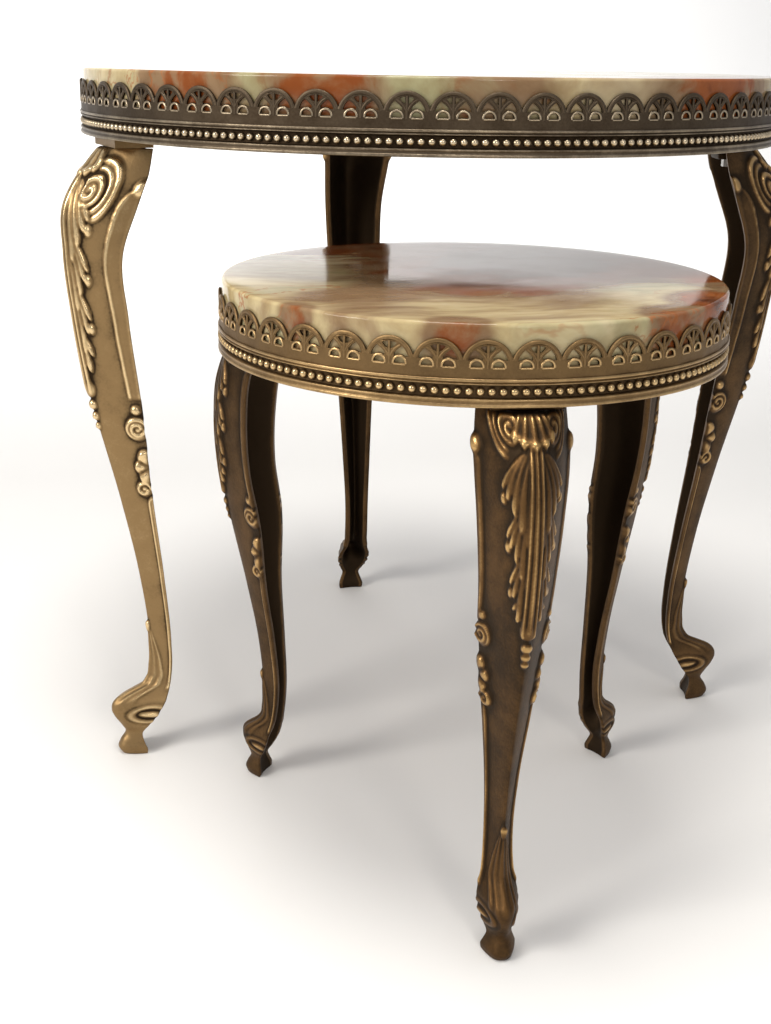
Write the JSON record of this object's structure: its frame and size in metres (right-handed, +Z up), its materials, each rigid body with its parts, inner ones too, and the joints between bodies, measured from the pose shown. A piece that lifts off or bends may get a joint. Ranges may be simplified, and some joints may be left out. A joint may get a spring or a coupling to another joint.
{
  "type": "nesting tables",
  "caption": "Nest of round side tables with polished onyx tops, pierced brass galleries and cast brass cabriole legs; the small table slides under the large one.",
  "frame": {"origin": "on the floor, under the middle of the nest's bounding box", "axes": "+Z up; the nest opens towards -Y, where the small table slides out"},
  "size_m": [0.5302, 0.645, 0.503],
  "materials": {
    "stone": "polished",
    "brass": "antiqued casting",
    "board": "raw plywood",
    "steel": "bronzed brown",
    "zinc": "zinc plated"
  },
  "bodies": {
    "large_table": {"large_stone_top": "stone", "large_gallery": "brass", "large_beaded_rim": "brass", "large_base_board": "board", "large_front_left_leg": "brass", "large_front_left_leg_plate": "steel", "large_front_left_leg_bolt": "zinc", "large_front_left_plate_screw_1": "zinc", "large_front_left_plate_screw_2": "zinc", "large_front_right_leg": "brass", "large_front_right_leg_plate": "steel", "large_front_right_leg_bolt": "zinc", "large_front_right_plate_screw_1": "zinc", "large_front_right_plate_screw_2": "zinc", "large_back_leg": "brass", "large_back_leg_plate": "steel", "large_back_leg_bolt": "zinc", "large_back_plate_screw_1": "zinc", "large_back_plate_screw_2": "zinc"},
    "small_table": {"small_stone_top": "stone", "small_gallery": "brass", "small_beaded_rim": "brass", "small_base_board": "board", "small_front_leg": "brass", "small_front_leg_plate": "steel", "small_front_leg_bolt": "zinc", "small_front_plate_screw_1": "zinc", "small_front_plate_screw_2": "zinc", "small_right_leg": "brass", "small_right_leg_plate": "steel", "small_right_leg_bolt": "zinc", "small_right_plate_screw_1": "zinc", "small_right_plate_screw_2": "zinc", "small_left_leg": "brass", "small_left_leg_plate": "steel", "small_left_leg_bolt": "zinc", "small_left_plate_screw_1": "zinc", "small_left_plate_screw_2": "zinc"}
  },
  "joints": [
    {"name": "small_table_slide", "type": "slide", "parent": "large_table", "child": "small_table", "axis": [0, -1, 0], "range_m": [-0.185, 0.25]}
  ]
}
